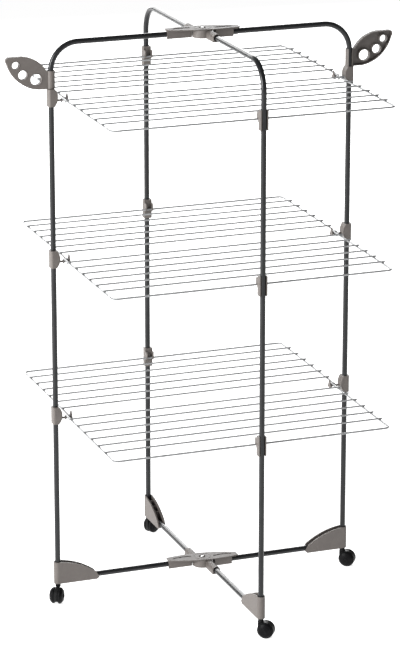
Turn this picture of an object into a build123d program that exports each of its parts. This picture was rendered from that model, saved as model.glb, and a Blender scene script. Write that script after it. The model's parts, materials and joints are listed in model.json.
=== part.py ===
"""Folding clothes drying rack on four casters.

Two tube frames cross on a vertical axis. The main frame runs along X and the cross frame
along Y. Each frame is two quarter frames, whose arms pass on either side of the axis. Six
half shelves of wire hang on hinge brackets on the main posts and rest in clips on the cross
posts. Two leaf-shaped wings on the main posts hold garment hangers.

Sizes are in millimetres and +Z is up. The origin is on the floor, under the axis on which
the frames cross. Run this file from its own folder: it writes parts/NODE.step, one file for
each sub-part.

A quarter frame is drawn in its own local frame, with the crossing axis at x = 0 and the
post at x = -reach. place() turns it to its side of the rack.
"""

import os

from build123d import *

# Tube frames
TUBE_RADIUS = 6.5
TUBE_WALL = 1.0
MAIN_REACH = 370.0
CROSS_REACH = 368.0
ARM_OFFSET = 10.0
BASE_Z = 57.5
TOP_Z = 1382.0
BEND_RADIUS = 66.0
ARM_INNER_END = 28.0
BASE_OUTER_GAP = 8.0

# Fits: a fixed or running fit round a shaft, and the gap between faces that pass each other
RUNNING_GAP = 0.05
FACE_GAP = 0.4
BORE_RADIUS = TUBE_RADIUS + RUNNING_GAP
MOUTH_RADIUS = 8.2
MOUTH_DEPTH = 3.0

# Shelves, with the heights of their side wires
SIDE_WIRE_Z = {"low": 477.5, "mid": 865.2, "top": 1253.5}
SIDE_WIRE_RADIUS = 2.25
ROD_RADIUS = 2.0
ROD_COUNT = 6
FIRST_ROD_Y = 42.7
ROD_PITCH = 50.5
EDGE_WIRE_Y = 353.1
SIDE_WIRE_X = 343.5
HALF_SHIFT = 3.0
ROD_OVERHANG = 4.0
SHELF_CORNER_RADIUS = 12.0
HOOK_PRONG = 6.0
PIN_RADIUS = 2.5
PIN_DROP = PIN_RADIUS + RUNNING_GAP + SIDE_WIRE_RADIUS
PIN_END_X = 336.0
JOINT_Z = SIDE_WIRE_Z["mid"]

# Hinge brackets on the main posts
HINGE_TOP = 22.0
HINGE_BOTTOM = -19.5
HINGE_OUTER = 9.6
HINGE_BULGE = 12.5
HINGE_HALF_WIDTH = 9.5
HINGE_PIN_SIDE = 14.0
KEEPER_THICKNESS = 2.5
KEEPER_HALF_BASE = 11.0
KEEPER_HEIGHT = 13.0
KEEPER_FOOT = 4.0

# Clips on the cross posts
CLIP_HALF_HEIGHT = 23.8
CLIP_HALF_WIDTH = 9.5
CLIP_WEB = 9.6
CLIP_OUTER = 6.0
EAR_TOP = 16.0
EAR_BOTTOM = -6.0
EAR_REACH = 20.0
EAR_LIP = -3.0
NOTCH_HALF_WIDTH = 2.8

# Corner brackets, with heights from the centre of the base tube
CORNER_HALF_WIDTH = 10.0
CORNER_BOTTOM = -9.7
CORNER_TOP = 45.5
CORNER_LENGTH = 103.5

# Hubs, with heights from the centres of the tubes
HUB_HALF_LENGTH = 87.0
HUB_HALF_WIDTH = 24.0
HUB_WALL_HALF = 9.5
HUB_PLATE_TOP = 12.2
HUB_GAP_Z = 0.3
DRUM_RADIUS = 24.0
SOCKET_REACH = 72.0
WALL_INNER_END = 26.0
OUTER_WALL_SETBACK = 16.0
RECESS_DEPTH = 1.1
RIVET_RADIUS = 3.0
RIVET_HEAD_RADIUS = 4.5
RIVET_WELL_RADIUS = 7.0
RIVET_WELL_DEPTH = 1.2

# Hanger wings on the main posts
WING_BOTTOM_Z = SIDE_WIRE_Z["top"] + HINGE_TOP + FACE_GAP
WING_SLEEVE_HEIGHT = 42.5
WING_SLOT_WIDTH = 9.0
WING_RELIEF = 8.0
WING_SLEEVE_RADIUS = 9.5
LEAF_ROOT = 6.0
LEAF_HALF_THICKNESS = 5.0
LEAF_SKIN = 3.0
LEAF_RIM = 2.2
LEAF_HOLES = [(37.0, 24.5, 13.3), (68.7, 37.2, 10.9), (85.8, 61.0, 8.6)]

# Casters
CASTER_TRAIL = 13.0
WHEEL_RADIUS = 20.0
WHEEL_INNER = 4.5
WHEEL_RIM = 9.5
WHEEL_OUTER = 18.0
HUB_CAP_RADIUS = 6.0
AXLE_RADIUS = 2.5
HOOD_HALF_WIDTH = 4.0
HOOD_RADIUS = 19.5
HOOD_BOTTOM_Z = 9.0
COLLAR_RADIUS = 6.5
COLLAR_BOTTOM_Z = 39.5
STEM_RADIUS = 4.0
STEM_TOP_Z = 70.0

# Sides of each frame: the turn of the quarter frame and the direction the caster trails in
MAIN_SIDES = {"left": 0.0, "right": 180.0}
CROSS_SIDES = {"front": 90.0, "back": 270.0}
TRAIL_DIRECTION = {"front": 324.0, "right": 324.0, "back": 30.0, "left": 238.0}


def place(shape, turn):
    """Turn a shape about the crossing axis."""
    return Rot(0, 0, turn) * shape


def bar(start, end, radius):
    """A round bar between two points."""
    line = Vector(*end) - Vector(*start)
    return extrude(Plane(origin=start, z_dir=line) * Circle(radius), line.length)


def pipe(start, end):
    """A straight length of frame tube."""
    return bar(start, end, TUBE_RADIUS) - bar(start, end, TUBE_RADIUS - TUBE_WALL)


def block(x_range, y_range, z_range):
    """A box between two limits on each axis."""
    size = [high - low for low, high in (x_range, y_range, z_range)]
    centre = [(high + low) / 2 for low, high in (x_range, y_range, z_range)]
    return Pos(*centre) * Box(*size)


def upright_plane(x, y, z):
    """A vertical plane whose own axes are X and Z, facing -Y."""
    return Plane(origin=(x, y, z), x_dir=(1, 0, 0), z_dir=(0, -1, 0))


# Tubes of a quarter frame


def lower_post(reach, offset):
    """The post from the corner bracket up to the joint behind the middle shelf."""
    foot_z = BASE_Z - TUBE_RADIUS
    return pipe((-reach, offset, foot_z), (-reach, offset, JOINT_Z))


def upper_tube(reach, offset):
    """The upper post, its bend and the arm to the hub, in one bent tube."""
    path = FilletPolyline(
        (-reach, offset, JOINT_Z),
        (-reach, offset, TOP_Z),
        (-ARM_INNER_END, offset, TOP_Z),
        radius=BEND_RADIUS,
    )
    start = Plane(origin=path @ 0, z_dir=path % 0)
    outside = sweep(start * Circle(TUBE_RADIUS), path)
    inside = sweep(start * Circle(TUBE_RADIUS - TUBE_WALL), path)
    return outside - inside


def base_tube(reach, offset):
    """The straight tube from the corner bracket to the lower hub."""
    outer_end = -reach + BASE_OUTER_GAP
    return pipe((outer_end, offset, BASE_Z), (-ARM_INNER_END, offset, BASE_Z))


def corner_bracket(reach, offset):
    """The bracket that joins the post and the base tube, open along its top."""
    plane = upright_plane(-reach, offset, BASE_Z)
    outline = make_face(
        [
            Line((0, CORNER_BOTTOM), (CORNER_LENGTH - 6, CORNER_BOTTOM)),
            Line((CORNER_LENGTH - 6, CORNER_BOTTOM), (CORNER_LENGTH, CORNER_BOTTOM + 5)),
            Line((CORNER_LENGTH, CORNER_BOTTOM + 5), (CORNER_LENGTH - 9, 10)),
            ThreePointArc((CORNER_LENGTH - 9, 10), (63, 29), (6, CORNER_TOP)),
            Line((6, CORNER_TOP), (0, CORNER_TOP)),
            Line((0, CORNER_TOP), (0, CORNER_BOTTOM)),
        ]
    )
    low = BASE_Z + CORNER_BOTTOM
    high = BASE_Z + CORNER_TOP
    floor_z = BASE_Z - BORE_RADIUS
    post = (-reach, offset)
    body = extrude(plane * outline, CORNER_HALF_WIDTH, both=True)
    body += bar((*post, low), (*post, high), CORNER_HALF_WIDTH)
    body -= bar((*post, floor_z), (*post, high + 1), BORE_RADIUS)
    body -= bar((*post, high - MOUTH_DEPTH), (*post, high + 1), MOUTH_RADIUS)
    channel_x = (-reach, -reach + CORNER_LENGTH + 1)
    channel_y = (offset - BORE_RADIUS, offset + BORE_RADIUS)
    body -= block(channel_x, channel_y, (floor_z, high + 1))
    body -= bar((*post, low - 1), (*post, floor_z + 1), STEM_RADIUS + RUNNING_GAP)
    return body


# Hubs


def hub_cover(z):
    """The skewed plate over a crossing, with walls down both sides of the two main arms."""
    tip_outer = ARM_OFFSET + HUB_WALL_HALF
    tip_inner = ARM_OFFSET - HUB_WALL_HALF
    end = HUB_HALF_LENGTH
    outline = make_face(
        [
            ThreePointArc((-end, tip_outer), (0, HUB_HALF_WIDTH), (end, -tip_inner)),
            Line((end, -tip_inner), (end, -tip_outer)),
            ThreePointArc((end, -tip_outer), (0, -HUB_HALF_WIDTH), (-end, tip_inner)),
            Line((-end, tip_inner), (-end, tip_outer)),
        ]
    )
    plate_bottom = z + HUB_WALL_HALF + HUB_GAP_Z
    plate_top = z + HUB_PLATE_TOP
    cover = extrude(Pos(0, 0, plate_bottom) * outline, plate_top - plate_bottom)
    for turn in MAIN_SIDES.values():
        walls = block((-end, -WALL_INNER_END), (tip_inner, tip_outer), (z - HUB_WALL_HALF, plate_top))
        arm_y = (ARM_OFFSET - BORE_RADIUS, ARM_OFFSET + BORE_RADIUS)
        walls -= block((-end - 1, 0), arm_y, (z - HUB_WALL_HALF - 1, z))
        walls -= bar((-end - 1, ARM_OFFSET, z), (0, ARM_OFFSET, z), BORE_RADIUS)
        walls -= bar((-end - 1, ARM_OFFSET, z), (-end + MOUTH_DEPTH, ARM_OFFSET, z), MOUTH_RADIUS)
        setback_x = (-end - 1, -end + OUTER_WALL_SETBACK)
        setback_y = (ARM_OFFSET + 4, tip_outer + 1)
        walls -= block(setback_x, setback_y, (z - HUB_WALL_HALF - 1, plate_bottom))
        cover += place(walls, turn)
    for turn in MAIN_SIDES.values():
        recess = Pos(-50, 7, plate_top - RECESS_DEPTH) * extrude(Ellipse(24, 6.8), RECESS_DEPTH + 1)
        cover -= place(recess, turn)
    cover -= bar((0, 0, plate_top - RIVET_WELL_DEPTH), (0, 0, plate_top + 1), RIVET_WELL_RADIUS)
    cover -= bar((0, 0, plate_bottom - 1), (0, 0, plate_top + 1), RIVET_RADIUS + RUNNING_GAP)
    return cover


def hub_drum(z):
    """The drum under a hub cover, with a socket for each of the two cross arms."""
    low = z - HUB_WALL_HALF
    high = z + HUB_WALL_HALF
    arm_y = -ARM_OFFSET
    drum = bar((0, 0, low), (0, 0, high), DRUM_RADIUS)
    for turn in CROSS_SIDES.values():
        socket = bar((-SOCKET_REACH, arm_y, z), (0, arm_y, z), HUB_WALL_HALF)
        side_y = (arm_y - HUB_WALL_HALF, arm_y + HUB_WALL_HALF)
        socket += block((-SOCKET_REACH, 0), side_y, (low, z))
        drum += place(socket, turn)
    for turn in CROSS_SIDES.values():
        inner_end = -ARM_INNER_END + FACE_GAP
        bore = bar((-SOCKET_REACH - 1, arm_y, z), (inner_end, arm_y, z), BORE_RADIUS)
        mouth_end = -SOCKET_REACH + MOUTH_DEPTH
        bore += bar((-SOCKET_REACH - 1, arm_y, z), (mouth_end, arm_y, z), MOUTH_RADIUS)
        drum -= place(bore, turn)
    drum -= bar((0, 0, low - 1), (0, 0, high + 1), RIVET_RADIUS + RUNNING_GAP)
    return drum


def pivot_rivet(z):
    """The rivet on which the cross frame turns, with a head in the cover's round well."""
    head_z = z + HUB_PLATE_TOP - RIVET_WELL_DEPTH
    tail_z = z - HUB_WALL_HALF - HUB_GAP_Z
    rivet = bar((0, 0, tail_z - 1), (0, 0, head_z + 1), RIVET_RADIUS)
    head = bar((0, 0, head_z), (0, 0, head_z + 2.2), RIVET_HEAD_RADIUS)
    rivet += fillet(head.edges().sort_by(Axis.Z)[-1], 1.6)
    rivet += bar((0, 0, tail_z - 1.5), (0, 0, tail_z), RIVET_HEAD_RADIUS + 1.5)
    return rivet


# Shelf hinges and clips


def hinge_bracket(z):
    """The D-shaped bracket on a main post, with the hinge pin and its keeper plate."""
    plane = upright_plane(-MAIN_REACH, ARM_OFFSET, z)
    outline = make_face(
        [
            Line((-HINGE_OUTER, HINGE_BOTTOM), (4, HINGE_BOTTOM)),
            ThreePointArc((4, HINGE_BOTTOM), (HINGE_BULGE, -2), (6, HINGE_TOP)),
            Line((6, HINGE_TOP), (-HINGE_OUTER, HINGE_TOP)),
            Line((-HINGE_OUTER, HINGE_TOP), (-HINGE_OUTER, HINGE_BOTTOM)),
        ]
    )
    body = extrude(plane * outline, HINGE_PIN_SIDE)
    body += extrude(plane * outline, -HINGE_HALF_WIDTH)
    outer_edges = body.edges().filter_by(Axis.Z).group_by(Axis.X)[0]
    body = fillet(outer_edges, 5.0)
    pin_z = z - PIN_DROP
    body += bar((-MAIN_REACH + 8, 0, pin_z), (-PIN_END_X + 1, 0, pin_z), PIN_RADIUS)
    keeper_plane = Plane(origin=(-PIN_END_X, 0, pin_z), x_dir=(0, 1, 0), z_dir=(1, 0, 0))
    keeper_outline = Polygon(
        (-KEEPER_HALF_BASE, -KEEPER_FOOT),
        (KEEPER_HALF_BASE, -KEEPER_FOOT),
        (0, PIN_DROP + KEEPER_HEIGHT),
        align=None,
    )
    body += extrude(keeper_plane * fillet(keeper_outline.vertices(), 1.5), KEEPER_THICKNESS)
    post = (-MAIN_REACH, ARM_OFFSET)
    body -= bar((*post, z + HINGE_BOTTOM - 1), (*post, z + HINGE_TOP + 1), BORE_RADIUS)
    return body


def shelf_clip(z):
    """The clip on a cross post, with two notched ears that drop over the edge wire."""
    post_x = -CROSS_REACH
    post_y = -ARM_OFFSET
    side_y = (post_y - CLIP_HALF_WIDTH, post_y + CLIP_HALF_WIDTH)
    bore_y = (post_y - BORE_RADIUS, post_y + BORE_RADIUS)
    low = z - CLIP_HALF_HEIGHT
    high = z + CLIP_HALF_HEIGHT
    clip = block((post_x - CLIP_OUTER, post_x + CLIP_WEB), side_y, (low, high))
    ear_z = (z + EAR_BOTTOM, z + EAR_TOP)
    clip += block((post_x, post_x + EAR_REACH), side_y, ear_z)
    clip -= block((post_x + CLIP_WEB, post_x + EAR_REACH + 1), bore_y, (low, high))
    clip -= bar((post_x, post_y, low - 1), (post_x, post_y, high + 1), BORE_RADIUS)
    clip -= block((post_x - CLIP_OUTER - 1, post_x), bore_y, (low - 1, high + 1))
    wire_x = -EDGE_WIRE_Y
    notch_x = (wire_x - NOTCH_HALF_WIDTH, wire_x + NOTCH_HALF_WIDTH)
    clip -= block(notch_x, side_y, (z + EAR_BOTTOM - 1, z))
    clip -= bar((wire_x, side_y[0], z), (wire_x, side_y[1], z), NOTCH_HALF_WIDTH)
    lip_x = (wire_x, post_x + EAR_REACH + 1)
    clip -= block(lip_x, side_y, (z + EAR_BOTTOM - 1, z + EAR_LIP))
    return clip


# Half shelves, drawn for the front half


def side_wire_ends():
    """The x positions of the two side wires of the front half."""
    return -SIDE_WIRE_X - HALF_SHIFT, SIDE_WIRE_X - HALF_SHIFT


def shelf_loop(z):
    """The wire round three sides of the front half, hooked over the two hinge pins."""
    left, right = side_wire_ends()
    pin_z = z - PIN_DROP
    bend = SHELF_CORNER_RADIUS
    slant = PIN_DROP * 0.5**0.5
    corner = bend * (1 - 0.5**0.5)
    edge = -EDGE_WIRE_Y
    half = [
        Line((left, PIN_DROP, pin_z - HOOK_PRONG), (left, PIN_DROP, pin_z)),
        ThreePointArc((left, PIN_DROP, pin_z), (left, slant, pin_z + slant), (left, 0, z)),
        Line((left, 0, z), (left, edge + bend, z)),
        ThreePointArc(
            (left, edge + bend, z),
            (left + corner, edge + corner, z),
            (left + bend, edge, z),
        ),
        Line((left + bend, edge, z), ((left + right) / 2, edge, z)),
    ]
    path = Wire(half)
    section = Plane(origin=path @ 0, z_dir=path % 0) * Circle(SIDE_WIRE_RADIUS)
    left_half = sweep(section, path)
    right_half = mirror(left_half, Plane(origin=((left + right) / 2, 0, 0), z_dir=(1, 0, 0)))
    return left_half + right_half


def shelf_rods(z):
    """The parallel rods of the front half, which lie on the side wires."""
    left, right = side_wire_ends()
    rod_z = z + SIDE_WIRE_RADIUS + RUNNING_GAP + ROD_RADIUS
    rods = []
    for index in range(ROD_COUNT):
        y = -FIRST_ROD_Y - index * ROD_PITCH
        rods.append(bar((left - ROD_OVERHANG, y, rod_z), (right + ROD_OVERHANG, y, rod_z), ROD_RADIUS))
    return Compound(children=[rod.solid() for rod in rods])


# Hanger wings, drawn for the left post


def leaf_face():
    """The outline of the leaf, from the post outwards and up from the sleeve's bottom."""
    return make_face(
        [
            Line((LEAF_ROOT, 0), (30, 0)),
            ThreePointArc((30, 0), (78, 20), (107, 66)),
            ThreePointArc((107, 66), (108, 77), (102, 80.5)),
            Line((102, 80.5), (70, 80.5)),
            ThreePointArc((70, 80.5), (32, 66), (11, WING_SLEEVE_HEIGHT)),
            Line((11, WING_SLEEVE_HEIGHT), (LEAF_ROOT, WING_SLEEVE_HEIGHT)),
            Line((LEAF_ROOT, WING_SLEEVE_HEIGHT), (LEAF_ROOT, 0)),
        ]
    )


def wing():
    """The wing: a clip-on sleeve and a shell-like leaf with three hanger holes."""
    origin = (-MAIN_REACH, ARM_OFFSET, WING_BOTTOM_Z)
    plane = Plane(origin=origin, x_dir=(-1, 0, 0), z_dir=(0, 1, 0))
    face = leaf_face()
    leaf = extrude(plane * face, LEAF_HALF_THICKNESS, both=True)
    hollow = plane.offset(-LEAF_HALF_THICKNESS + LEAF_SKIN) * offset(face, -LEAF_RIM)
    pocket = extrude(hollow, 2 * LEAF_HALF_THICKNESS)
    for out, up, radius in LEAF_HOLES:
        boss = plane.offset(-LEAF_HALF_THICKNESS) * Pos(out, up, 0) * Circle(radius + LEAF_RIM)
        pocket -= extrude(boss, 2 * LEAF_HALF_THICKNESS)
    leaf -= pocket
    for out, up, radius in LEAF_HOLES:
        hole = plane.offset(-LEAF_HALF_THICKNESS - 1) * Pos(out, up, 0) * Circle(radius)
        leaf -= extrude(hole, 2 * LEAF_HALF_THICKNESS + 2)
    post = (-MAIN_REACH, ARM_OFFSET)
    low = WING_BOTTOM_Z
    high = WING_BOTTOM_Z + WING_SLEEVE_HEIGHT
    sleeve = bar((*post, low), (*post, high), WING_SLEEVE_RADIUS)
    slot_x = (-MAIN_REACH - WING_SLOT_WIDTH / 2, -MAIN_REACH + WING_SLOT_WIDTH / 2)
    slot_y = (ARM_OFFSET, ARM_OFFSET + 2 * WING_SLEEVE_RADIUS)
    body = sleeve + leaf
    body -= bar((*post, low - 1), (*post, high + 1), BORE_RADIUS)
    body -= bar((*post, high - WING_RELIEF), (*post, high + 1), MOUTH_RADIUS)
    body -= block(slot_x, slot_y, (low - 1, high + 1))
    return body


# Casters, drawn on the crossing axis and trailing along +X


def caster_housing():
    """The hood between the wheels, its collar and the stem that turns in the bracket."""
    plane = upright_plane(CASTER_TRAIL, 0, WHEEL_RADIUS)
    hood_y = (-HOOD_HALF_WIDTH, HOOD_HALF_WIDTH)
    collar_top = BASE_Z + CORNER_BOTTOM - FACE_GAP
    hood = extrude(plane * Circle(HOOD_RADIUS), HOOD_HALF_WIDTH, both=True)
    hood += block((-COLLAR_RADIUS, COLLAR_RADIUS), hood_y, (WHEEL_RADIUS, COLLAR_BOTTOM_Z + 1))
    hood -= block((-50, 50), (-50, 50), (-1, HOOD_BOTTOM_Z))
    hood += bar((0, 0, COLLAR_BOTTOM_Z), (0, 0, collar_top), COLLAR_RADIUS)
    hood += bar((0, 0, collar_top - 1), (0, 0, STEM_TOP_Z), STEM_RADIUS)
    bore_start = (CASTER_TRAIL, -HOOD_HALF_WIDTH - 1, WHEEL_RADIUS)
    bore_end = (CASTER_TRAIL, HOOD_HALF_WIDTH + 1, WHEEL_RADIUS)
    hood -= bar(bore_start, bore_end, AXLE_RADIUS + RUNNING_GAP)
    return hood


def caster_wheels():
    """The two domed wheels and the axle that joins them."""
    centre = (CASTER_TRAIL, 0, WHEEL_RADIUS)
    plane = Plane(origin=centre, x_dir=(0, 1, 0), z_dir=(1, 0, 0))
    cap_start = WHEEL_OUTER - 1
    profile = make_face(
        [
            Line((WHEEL_INNER, 0), (WHEEL_INNER, WHEEL_RADIUS - 1.5)),
            Line((WHEEL_INNER, WHEEL_RADIUS - 1.5), (WHEEL_INNER + 1.5, WHEEL_RADIUS)),
            Line((WHEEL_INNER + 1.5, WHEEL_RADIUS), (WHEEL_RIM, WHEEL_RADIUS)),
            ThreePointArc((WHEEL_RIM, WHEEL_RADIUS), (14.7, 14.5), (cap_start, HUB_CAP_RADIUS)),
            Line((cap_start, HUB_CAP_RADIUS), (WHEEL_OUTER, HUB_CAP_RADIUS - 1)),
            Line((WHEEL_OUTER, HUB_CAP_RADIUS - 1), (WHEEL_OUTER, 0)),
            Line((WHEEL_OUTER, 0), (WHEEL_INNER, 0)),
        ]
    )
    wheel = revolve(plane * profile, Axis(centre, (0, 1, 0)), 360)
    axle_start = (CASTER_TRAIL, -WHEEL_INNER - 1, WHEEL_RADIUS)
    axle_end = (CASTER_TRAIL, WHEEL_INNER + 1, WHEEL_RADIUS)
    return bar(axle_start, axle_end, AXLE_RADIUS) + wheel + mirror(wheel, Plane.XZ)


def quarter_parts(side, reach, offset, turn):
    """The tubes, corner bracket and caster of one quarter frame."""
    post = Vector(-reach, offset, 0).rotate(Axis.Z, turn)
    caster_place = Pos(post.X, post.Y, 0) * Rot(0, 0, TRAIL_DIRECTION[side])
    return {
        f"{side}_post": place(lower_post(reach, offset), turn),
        f"{side}_arch": place(upper_tube(reach, offset), turn),
        f"{side}_base_tube": place(base_tube(reach, offset), turn),
        f"{side}_corner": place(corner_bracket(reach, offset), turn),
        f"{side}_caster": caster_place * caster_housing(),
        f"{side}_wheels": caster_place * caster_wheels(),
    }


def build_parts():
    """Every sub-part, in its place in the rack, by name."""
    parts = {}
    for side, turn in MAIN_SIDES.items():
        parts |= quarter_parts(side, MAIN_REACH, ARM_OFFSET, turn)
    for side, turn in CROSS_SIDES.items():
        parts |= quarter_parts(side, CROSS_REACH, -ARM_OFFSET, turn)
    for side, turn in MAIN_SIDES.items():
        parts[f"{side}_wing"] = place(wing(), turn)
    for hub, z in {"base": BASE_Z, "crown": TOP_Z}.items():
        parts[f"{hub}_hub_cover"] = hub_cover(z)
        parts[f"{hub}_hub_drum"] = hub_drum(z)
        parts[f"{hub}_rivet"] = pivot_rivet(z)
    for level, z in SIDE_WIRE_Z.items():
        for side, turn in MAIN_SIDES.items():
            parts[f"{side}_hinge_{level}"] = place(hinge_bracket(z), turn)
        for side, turn in CROSS_SIDES.items():
            parts[f"{side}_clip_{level}"] = place(shelf_clip(z), turn)
        for side, turn in {"front": 0.0, "back": 180.0}.items():
            parts[f"{side}_loop_{level}"] = place(shelf_loop(z), turn)
            parts[f"{side}_rods_{level}"] = place(shelf_rods(z), turn)
    return parts


os.makedirs("parts", exist_ok=True)
for name, shape in build_parts().items():
    export_step(shape, f"parts/{name}.step")
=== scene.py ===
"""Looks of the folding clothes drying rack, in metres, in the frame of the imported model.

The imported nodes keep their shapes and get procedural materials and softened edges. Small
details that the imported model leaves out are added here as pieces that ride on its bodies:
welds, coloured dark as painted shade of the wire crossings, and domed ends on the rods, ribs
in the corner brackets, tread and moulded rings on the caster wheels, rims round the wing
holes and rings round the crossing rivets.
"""

import json
import math

import bmesh
import bpy
from mathutils import Matrix, Vector


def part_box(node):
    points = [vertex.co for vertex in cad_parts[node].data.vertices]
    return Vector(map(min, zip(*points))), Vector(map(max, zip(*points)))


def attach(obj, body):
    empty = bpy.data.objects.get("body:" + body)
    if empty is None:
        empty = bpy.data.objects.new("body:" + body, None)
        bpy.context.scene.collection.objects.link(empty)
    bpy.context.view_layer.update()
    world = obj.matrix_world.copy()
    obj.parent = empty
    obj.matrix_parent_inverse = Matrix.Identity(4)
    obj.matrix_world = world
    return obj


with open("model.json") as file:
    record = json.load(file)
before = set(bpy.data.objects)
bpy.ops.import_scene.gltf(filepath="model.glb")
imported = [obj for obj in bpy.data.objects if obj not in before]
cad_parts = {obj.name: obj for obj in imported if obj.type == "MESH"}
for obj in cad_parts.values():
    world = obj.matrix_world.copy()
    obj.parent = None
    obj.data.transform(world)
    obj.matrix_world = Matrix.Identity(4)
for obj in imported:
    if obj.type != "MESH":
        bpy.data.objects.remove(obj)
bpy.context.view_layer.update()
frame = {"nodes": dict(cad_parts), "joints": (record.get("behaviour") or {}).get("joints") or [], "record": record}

HALVES = ("front", "back")
LEVELS = ("low", "mid", "top")

# The turn of each side of the rack from the left side, and the body its tubes belong to
TURNS = {"left": 0.0, "right": math.pi, "front": math.pi / 2, "back": -math.pi / 2}
FRAME_BODIES = {
    "left": "main_frame",
    "right": "main_frame",
    "front": "cross_frame",
    "back": "cross_frame",
}

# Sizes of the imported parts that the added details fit, in metres. A wing hole is its distance
# out from the post, its height above the sleeve's bottom and its radius.
ROD_RADIUS = 0.002
ROD_COUNT = 6
WIRE_RADIUS = 0.00225
TUBE_RADIUS = 0.0065
CHANNEL_HALF_WIDTH = 0.0066
LEAF_HALF_THICKNESS = 0.0049
WHEEL_RADIUS = 0.020
WING_HOLES = ((0.0370, 0.0245, 0.0133), (0.0687, 0.0372, 0.0109), (0.0858, 0.0610, 0.0086))

# Sizes of the added details, in metres
WELD_RADIUS = 0.0024
RIB_STEPS = (0.022, 0.042, 0.062)
RIB_THICKNESS = 0.0016
RIB_TOP_DROP = 0.007
RIB_TOP_STEP = 0.0075
RIM_OFFSET = 0.0011
RIM_THICKNESS = 0.0008
TREAD_OFFSETS = (0.0066, 0.0080, 0.0094)
TREAD_THICKNESS = 0.0006

# Moulded rings, in metres: the wheels' as distance along the axle, ring radius and bead radius,
# and the hubs' as ring radius and bead radius
WHEEL_RINGS = ((0.0148, 0.0142, 0.0007), (0.0168, 0.0068, 0.0007), (0.0179, 0.0030, 0.0006))
HUB_RINGS = ((0.0078, 0.0006), (0.0200, 0.0003))

# Camera, in metres and radians
CAMERA_PLACE = (-2.517, -6.7306, 2.894)
CAMERA_TURN = (math.pi / 2 - 0.2999, 0.0, -0.3571)
CAMERA_LENS = 281.3
SENSOR_WIDTH = 36.0


# Node helpers for materials


def new_material(name):
    """An empty node material with its principled shader."""
    material = bpy.data.materials.new(name)
    material.use_nodes = True
    shader = material.node_tree.nodes["Principled BSDF"]
    return material, material.node_tree, shader


def object_noise(tree, scale, detail=4.0, roughness=0.55):
    """Noise in the object's own metres."""
    place = tree.nodes.new("ShaderNodeTexCoord")
    noise = tree.nodes.new("ShaderNodeTexNoise")
    noise.inputs["Scale"].default_value = scale
    noise.inputs["Detail"].default_value = detail
    noise.inputs["Roughness"].default_value = roughness
    tree.links.new(place.outputs["Object"], noise.inputs["Vector"])
    return noise


def ramp(tree, source, low, high, stops=(0.35, 0.65)):
    """A two-colour ramp over a value."""
    node = tree.nodes.new("ShaderNodeValToRGB")
    node.color_ramp.elements[0].position = stops[0]
    node.color_ramp.elements[1].position = stops[1]
    node.color_ramp.elements[0].color = (*low, 1.0)
    node.color_ramp.elements[1].color = (*high, 1.0)
    tree.links.new(source, node.inputs["Fac"])
    return node.outputs["Color"]


def grey_range(tree, source, low, high):
    """A value mapped from 0..1 to a range."""
    node = tree.nodes.new("ShaderNodeMapRange")
    node.inputs["To Min"].default_value = low
    node.inputs["To Max"].default_value = high
    tree.links.new(source, node.inputs["Value"])
    return node.outputs["Result"]


def bump(tree, shader, height, strength, distance):
    """Surface relief from a height value."""
    node = tree.nodes.new("ShaderNodeBump")
    node.inputs["Strength"].default_value = strength
    node.inputs["Distance"].default_value = distance
    tree.links.new(height, node.inputs["Height"])
    tree.links.new(node.outputs["Normal"], shader.inputs["Normal"])


def edge_lightening(tree, colour, edge_tint, amount):
    """Lightens a colour along convex edges."""
    geometry = tree.nodes.new("ShaderNodeNewGeometry")
    edge = tree.nodes.new("ShaderNodeMapRange")
    edge.inputs["From Min"].default_value = 0.52
    edge.inputs["From Max"].default_value = 0.62
    edge.inputs["To Max"].default_value = amount
    tree.links.new(geometry.outputs["Pointiness"], edge.inputs["Value"])
    mix = tree.nodes.new("ShaderNodeMix")
    mix.data_type = "RGBA"
    mix.inputs["B"].default_value = (*edge_tint, 1.0)
    tree.links.new(edge.outputs["Result"], mix.inputs["Factor"])
    tree.links.new(colour, mix.inputs["A"])
    return mix.outputs["Result"]


# Materials


def tube_paint():
    """Anthracite powder coat with a soft gloss and a faint orange peel."""
    material, tree, shader = new_material("anthracite_coat")
    patches = object_noise(tree, 35.0, 5.0)
    colour = ramp(tree, patches.outputs["Fac"], (0.0085, 0.009, 0.010), (0.014, 0.015, 0.0165))
    tree.links.new(colour, shader.inputs["Base Color"])
    gloss = grey_range(tree, patches.outputs["Fac"], 0.24, 0.36)
    tree.links.new(gloss, shader.inputs["Roughness"])
    peel = object_noise(tree, 900.0, 2.0)
    bump(tree, shader, peel.outputs["Fac"], 0.08, 0.0003)
    shader.inputs["Specular IOR Level"].default_value = 0.24
    shader.inputs["Coat Weight"].default_value = 0.2
    shader.inputs["Coat Roughness"].default_value = 0.22
    return material


def wire_coat():
    """Pale grey coat on the wires, a little uneven from dipping."""
    material, tree, shader = new_material("pale_wire_coat")
    patches = object_noise(tree, 60.0, 4.0)
    colour = ramp(tree, patches.outputs["Fac"], (0.23, 0.235, 0.24), (0.31, 0.315, 0.32))
    tree.links.new(colour, shader.inputs["Base Color"])
    gloss = grey_range(tree, patches.outputs["Fac"], 0.26, 0.42)
    tree.links.new(gloss, shader.inputs["Roughness"])
    drips = object_noise(tree, 700.0, 3.0)
    bump(tree, shader, drips.outputs["Fac"], 0.12, 0.0003)
    shader.inputs["Specular IOR Level"].default_value = 0.3
    shader.inputs["Coat Weight"].default_value = 0.05
    shader.inputs["Coat Roughness"].default_value = 0.2
    return material


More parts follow.
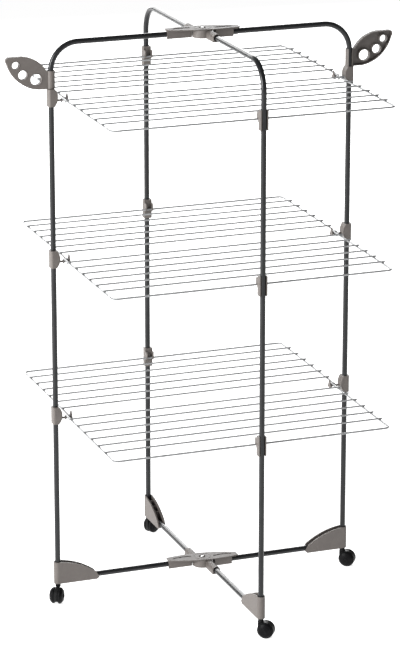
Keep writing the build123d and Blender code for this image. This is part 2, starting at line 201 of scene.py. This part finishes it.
def taupe_plastic():
    """Moulded warm grey plastic with a fine grain, a faint flow mottle and a painted highlight along its convex
    edges.
    """
    material, tree, shader = new_material("warm_grey_plastic")
    low, high = (0.086, 0.075, 0.069), (0.110, 0.097, 0.089)
    mottle = object_noise(tree, 45.0, 6.0, 0.6)
    colour = ramp(tree, mottle.outputs["Fac"], low, high)
    # Lighter convex edges are a painted highlight, as where rounded rims catch the light.
    edge_tint = tuple(1.35 * part for part in high)
    colour = edge_lightening(tree, colour, edge_tint, 0.5)
    tree.links.new(colour, shader.inputs["Base Color"])
    gloss = grey_range(tree, mottle.outputs["Fac"], 0.46, 0.62)
    tree.links.new(gloss, shader.inputs["Roughness"])
    grain = object_noise(tree, 1400.0, 3.0, 0.7)
    bump(tree, shader, grain.outputs["Fac"], 0.22, 0.0003)
    return material


def black_plastic():
    """Black moulded plastic of the caster hoods and wheels, with light scuffs."""
    material, tree, shader = new_material("black_caster_plastic")
    scuffs = object_noise(tree, 160.0, 8.0, 0.7)
    dark, light = (0.0035, 0.0035, 0.004), (0.008, 0.008, 0.0085)
    colour = ramp(tree, scuffs.outputs["Fac"], dark, light, (0.4, 0.75))
    colour = edge_lightening(tree, colour, (0.02, 0.02, 0.02), 0.5)
    tree.links.new(colour, shader.inputs["Base Color"])
    gloss = grey_range(tree, scuffs.outputs["Fac"], 0.3, 0.5)
    tree.links.new(gloss, shader.inputs["Roughness"])
    shader.inputs["Specular IOR Level"].default_value = 0.08
    bump(tree, shader, scuffs.outputs["Fac"], 0.15, 0.0004)
    return material


def tyre_rubber():
    """Matt tyre rubber with floor dust in its grain."""
    material, tree, shader = new_material("black_tyre_rubber")
    dust = object_noise(tree, 260.0, 8.0, 0.75)
    dark, light = (0.004, 0.004, 0.004), (0.012, 0.0115, 0.011)
    colour = ramp(tree, dust.outputs["Fac"], dark, light, (0.45, 0.8))
    tree.links.new(colour, shader.inputs["Base Color"])
    gloss = grey_range(tree, dust.outputs["Fac"], 0.6, 0.85)
    tree.links.new(gloss, shader.inputs["Roughness"])
    bump(tree, shader, dust.outputs["Fac"], 0.3, 0.0005)
    return material


def rivet_steel():
    """Bright zinc-plated steel with fine round scratches."""
    material, tree, shader = new_material("bright_rivet_steel")
    scratches = object_noise(tree, 1200.0, 6.0, 0.7)
    colour = ramp(tree, scratches.outputs["Fac"], (0.34, 0.34, 0.33), (0.5, 0.5, 0.49))
    tree.links.new(colour, shader.inputs["Base Color"])
    gloss = grey_range(tree, scratches.outputs["Fac"], 0.18, 0.36)
    tree.links.new(gloss, shader.inputs["Roughness"])
    shader.inputs["Metallic"].default_value = 1.0
    bump(tree, shader, scratches.outputs["Fac"], 0.1, 0.0002)
    return material


def weld_painted_shade():
    """Spot welds coloured near black as painted shade of the crossings, the contact shadow and dark reflection
    there, with a rough speckle.
    """
    material, tree, shader = new_material("weld_contact_shade")
    scale = object_noise(tree, 900.0, 6.0, 0.7)
    # Near-black colour: painted shade and dark reflection where each rod meets a side wire; the speckle between
    # the two greys is random tone.
    colour = ramp(tree, scale.outputs["Fac"], (0.02, 0.02, 0.02), (0.06, 0.06, 0.06))
    tree.links.new(colour, shader.inputs["Base Color"])
    gloss = grey_range(tree, scale.outputs["Fac"], 0.4, 0.65)
    tree.links.new(gloss, shader.inputs["Roughness"])
    bump(tree, shader, scale.outputs["Fac"], 0.3, 0.0004)
    return material


MATERIALS = {
    "tube_paint": tube_paint(),
    "wire_coat": wire_coat(),
    "taupe_plastic": taupe_plastic(),
    "black_plastic": black_plastic(),
    "rivet_steel": rivet_steel(),
}
TYRE = tyre_rubber()
# The weld colour is painted shade of the wire crossings.
WELD_SHADE = weld_painted_shade()

# Softened edges of the moulded nodes, as bevel widths in metres
BEVELS = {
    "corner": 0.0008,
    "hinge": 0.0006,
    "clip": 0.0006,
    "hub_cover": 0.0007,
    "hub_drum": 0.0008,
    "wing": 0.0009,
}


def dress_nodes():
    """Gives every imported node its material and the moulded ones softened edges."""
    slots = {entry["node"]: entry["material_slot"] for entry in frame["record"]["subparts"]}
    for name, node in frame["nodes"].items():
        node.data.materials.clear()
        node.data.materials.append(MATERIALS[slots[name]])
        for word, width in BEVELS.items():
            if word in name:
                soften = node.modifiers.new("soft_edges", "BEVEL")
                soften.width = width
                soften.segments = 2
                soften.limit_method = "ANGLE"
                soften.angle_limit = math.radians(40)


# Added details


def add_piece(name, mesh_data, material, body):
    """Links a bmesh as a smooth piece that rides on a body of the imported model."""
    mesh = bpy.data.meshes.new(name)
    bmesh.ops.recalc_face_normals(mesh_data, faces=mesh_data.faces)
    mesh_data.to_mesh(mesh)
    mesh_data.free()
    mesh.shade_smooth()
    mesh.materials.append(material)
    piece = bpy.data.objects.new(name, mesh)
    bpy.context.scene.collection.objects.link(piece)
    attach(piece, body)
    return piece


def add_blob(mesh_data, place, radii):
    """An ellipsoid."""
    matrix = Matrix.Translation(place) @ Matrix.Diagonal((*radii, 1.0))
    bmesh.ops.create_uvsphere(mesh_data, u_segments=16, v_segments=10, radius=1.0, matrix=matrix)


def add_ring(mesh_data, centre, axis, radius, thickness, segments=56, sides=10):
    """A round bead bent into a ring about an axis."""
    turn = axis.to_track_quat("Z", "Y").to_matrix()
    loops = []
    for step in range(segments):
        angle = 2 * math.pi * step / segments
        outward = Vector((math.cos(angle), math.sin(angle), 0))
        loop = []
        for side in range(sides):
            around = 2 * math.pi * side / sides
            spot = outward * (radius + thickness * math.cos(around))
            spot.z = thickness * math.sin(around)
            loop.append(mesh_data.verts.new(centre + turn @ spot))
        loops.append(loop)
    for step in range(segments):
        here, after = loops[step], loops[(step + 1) % segments]
        for side in range(sides):
            beside = (side + 1) % sides
            mesh_data.faces.new((here[side], here[beside], after[beside], after[side]))


def add_shelf_details(half, level):
    """Welds where the rods cross the side wires, coloured dark as painted shade of the crossings, and domed ends
    on the rods.
    """
    wire_low, wire_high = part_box(f"{half}_loop_{level}")
    rod_low, rod_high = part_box(f"{half}_rods_{level}")
    rod_z = (rod_low.z + rod_high.z) / 2
    first_y = rod_low.y + ROD_RADIUS
    pitch = (rod_high.y - rod_low.y - 2 * ROD_RADIUS) / (ROD_COUNT - 1)
    welds = bmesh.new()
    tips = bmesh.new()
    for index in range(ROD_COUNT):
        y = first_y + pitch * index
        for wire_x in (wire_low.x + WIRE_RADIUS, wire_high.x - WIRE_RADIUS):
            place = (wire_x, y, rod_z - ROD_RADIUS)
            add_blob(welds, place, (WELD_RADIUS * 1.15, WELD_RADIUS * 1.15, WELD_RADIUS * 0.8))
        for end_x in (rod_low.x, rod_high.x):
            add_blob(tips, (end_x, y, rod_z), (ROD_RADIUS * 0.8, ROD_RADIUS, ROD_RADIUS))
    body = f"{half}_shelf_{level}"
    # The welds' dark colour is painted shade of the crossings.
    add_piece(f"{body}_welds", welds, WELD_SHADE, body)
    add_piece(f"{body}_rod_ends", tips, MATERIALS["wire_coat"], body)


def post_centre(side):
    """The centre of the lower post on one side of the rack."""
    low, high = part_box(f"{side}_post")
    return (low + high) / 2


def add_corner_ribs(side):
    """Thin ribs across the open channel of a corner bracket, above the base tube."""
    bracket_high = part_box(f"{side}_corner")[1]
    tube_low, tube_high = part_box(f"{side}_base_tube")
    post = post_centre(side)
    inward = Matrix.Rotation(TURNS[side], 3, "Z") @ Vector((1, 0, 0))
    bottom = (tube_low.z + tube_high.z) / 2 + TUBE_RADIUS
    ribs = bmesh.new()
    for index, step in enumerate(RIB_STEPS):
        top = bracket_high.z - RIB_TOP_DROP - RIB_TOP_STEP * index
        centre = Vector((post.x, post.y, (bottom + top) / 2)) + inward * step
        size = Matrix.Diagonal((RIB_THICKNESS, 2 * CHANNEL_HALF_WIDTH, top - bottom, 1.0))
        place = Matrix.Translation(centre) @ Matrix.Rotation(TURNS[side], 4, "Z") @ size
        bmesh.ops.create_cube(ribs, size=1.0, matrix=place)
    plastic = MATERIALS["taupe_plastic"]
    piece = add_piece(f"{side}_corner_ribs", ribs, plastic, FRAME_BODIES[side])
    piece.data.shade_flat()


def add_wheel_details(side):
    """Tread beads on the rims and moulded rings on the domes of a pair of wheels."""
    joint = next(entry for entry in frame["joints"] if entry["name"] == f"{side}_wheel_spin")
    centre = Vector(joint["pos_m"])
    axle = Vector(joint["axis"]).normalized()
    treads = bmesh.new()
    rings = bmesh.new()
    for hand in (-1, 1):
        for along in TREAD_OFFSETS:
            spot = centre + axle * hand * along
            add_ring(treads, spot, axle, WHEEL_RADIUS - TREAD_THICKNESS, TREAD_THICKNESS)
        for along, radius, thickness in WHEEL_RINGS:
            add_ring(rings, centre + axle * hand * along, axle, radius, thickness)
    body = f"{side}_wheel_pair"
    add_piece(f"{side}_wheel_treads", treads, TYRE, body)
    add_piece(f"{side}_wheel_rings", rings, MATERIALS["black_plastic"], body)


def add_wing_details(side):
    """Rolled rims round the three hanger holes, on both faces of the leaf."""
    sleeve_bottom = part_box(f"{side}_wing")[0].z
    post = post_centre(side)
    outward = -1 if side == "left" else 1
    rims = bmesh.new()
    for out, up, radius in WING_HOLES:
        for face_y in (post.y - LEAF_HALF_THICKNESS, post.y + LEAF_HALF_THICKNESS):
            centre = Vector((post.x + outward * out, face_y, sleeve_bottom + up))
            add_ring(rims, centre, Vector((0, 1, 0)), radius + RIM_OFFSET, RIM_THICKNESS)
    plastic = MATERIALS["taupe_plastic"]
    add_piece(f"{side}_wing_rims", rims, plastic, f"{side}_wing_body")


def add_hub_details(hub):
    """Two raised rings round the well of the crossing rivet."""
    centre = Vector((0, 0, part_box(f"{hub}_hub_cover")[1].z))
    rings = bmesh.new()
    for radius, thickness in HUB_RINGS:
        add_ring(rings, centre, Vector((0, 0, 1)), radius, thickness)
    plastic = MATERIALS["taupe_plastic"]
    add_piece(f"{hub}_rivet_ring", rings, plastic, "main_frame")


def add_details():
    """Every added detail of the rack."""
    for half in HALVES:
        for level in LEVELS:
            add_shelf_details(half, level)
    for side in TURNS:
        add_corner_ribs(side)
        add_wheel_details(side)
    for side in ("left", "right"):
        add_wing_details(side)
    for hub in ("base", "crown"):
        add_hub_details(hub)


# Stage


def add_floor():
    """A plain pale floor."""
    mesh = bpy.data.meshes.new("floor")
    half = 30.0
    corners = [(-half, -half, 0), (half, -half, 0), (half, half, 0), (-half, half, 0)]
    mesh.from_pydata(corners, [], [(0, 1, 2, 3)])
    floor = bpy.data.objects.new("floor", mesh)
    bpy.context.scene.collection.objects.link(floor)
    material, _, shader = new_material("pale_floor")
    shader.inputs["Base Color"].default_value = (0.9, 0.9, 0.9, 1.0)
    shader.inputs["Roughness"].default_value = 0.9
    shader.inputs["Specular IOR Level"].default_value = 0.1
    shader.inputs["Emission Color"].default_value = (1.0, 1.0, 1.0, 1.0)
    shader.inputs["Emission Strength"].default_value = 0.75
    mesh.materials.append(material)


def add_light(name, place, width, height, power):
    """A soft oblong light that faces the middle of the rack."""
    data = bpy.data.lights.new(name, "AREA")
    data.shape = "RECTANGLE"
    data.size = width
    data.size_y = height
    data.energy = power
    light = bpy.data.objects.new(name, data)
    light.location = place
    aim = Vector((0, 0, 0.7)) - Vector(place)
    light.rotation_euler = aim.to_track_quat("-Z", "Y").to_euler()
    light.visible_camera = False
    bpy.context.scene.collection.objects.link(light)


def white_surround():
    """A dim surround for the light it gives, which the camera sees as white."""
    world = bpy.data.worlds.new("studio")
    world.use_nodes = True
    tree = world.node_tree
    dim = tree.nodes["Background"]
    dim.inputs["Color"].default_value = (1.0, 1.0, 1.0, 1.0)
    dim.inputs["Strength"].default_value = 0.2
    bright = tree.nodes.new("ShaderNodeBackground")
    bright.inputs["Color"].default_value = (1.0, 1.0, 1.0, 1.0)
    path = tree.nodes.new("ShaderNodeLightPath")
    mix = tree.nodes.new("ShaderNodeMixShader")
    tree.links.new(path.outputs["Is Camera Ray"], mix.inputs["Fac"])
    tree.links.new(dim.outputs["Background"], mix.inputs[1])
    tree.links.new(bright.outputs["Background"], mix.inputs[2])
    tree.links.new(mix.outputs["Shader"], tree.nodes["World Output"].inputs["Surface"])
    bpy.context.scene.world = world


def set_stage():
    """Floor, soft lights and the surround."""
    add_floor()
    add_light("left_key", (-5.0, -1.2, 2.4), 2.5, 2.5, 430.0)
    add_light("back_box", (0.6, 6.0, 2.6), 6.0, 3.0, 400.0)
    white_surround()
    bpy.context.scene.view_settings.view_transform = "Standard"


def set_camera():
    """The camera at the product picture's angle."""
    data = bpy.data.cameras.new("camera")
    data.sensor_fit = "HORIZONTAL"
    data.sensor_width = SENSOR_WIDTH
    data.lens = CAMERA_LENS
    data.clip_end = 100.0
    camera = bpy.data.objects.new("camera", data)
    camera.location = CAMERA_PLACE
    camera.rotation_euler = CAMERA_TURN
    bpy.context.scene.collection.objects.link(camera)
    bpy.context.scene.camera = camera


dress_nodes()
add_details()
set_stage()
set_camera()
